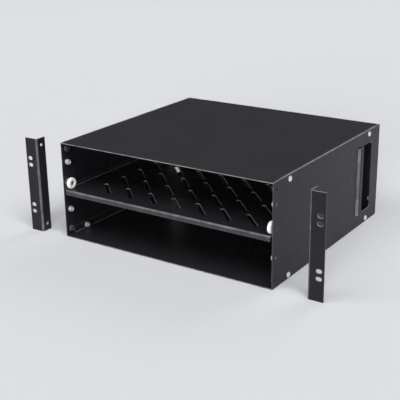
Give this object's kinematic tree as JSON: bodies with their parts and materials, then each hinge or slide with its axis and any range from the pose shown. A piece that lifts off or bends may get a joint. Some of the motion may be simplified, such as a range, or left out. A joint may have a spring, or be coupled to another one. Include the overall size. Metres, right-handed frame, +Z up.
{
  "type": "rack housing with shelf",
  "caption": "Black folded-steel rack housing, open at the front, with a slotted mid shelf clamped by round nuts, side cable outlets and loose angle brackets for a 19-inch rack.",
  "frame": {"origin": "middle of the case's underside", "axes": "+X to the right seen from the open front, +Y to the rear, +Z up"},
  "size_m": [0.5946, 0.409, 0.177],
  "materials": {
    "black_sheet": "fine-textured black powder coat",
    "zinc": "bright zinc plate",
    "white_nylon": "moulded, satin"
  },
  "bodies": {
    "root": {"base_plate": "black_sheet", "top_cover": "black_sheet", "left_wall": "black_sheet", "right_wall": "black_sheet", "rear_wall": "black_sheet", "shelf": "black_sheet", "left_bracket": "black_sheet", "right_bracket": "black_sheet", "left_shelf_spacers": "black_sheet", "right_shelf_spacers": "black_sheet", "left_side_screws": "zinc", "right_side_screws": "zinc", "left_flange_nuts": "zinc", "right_flange_nuts": "zinc", "left_wall_nuts": "zinc", "right_wall_nuts": "zinc", "left_shelf_studs": "zinc", "right_shelf_studs": "zinc", "rear_screws": "zinc", "rear_nuts": "zinc", "left_shelf_nuts": "white_nylon", "right_shelf_nuts": "white_nylon"}
  },
  "joints": []
}
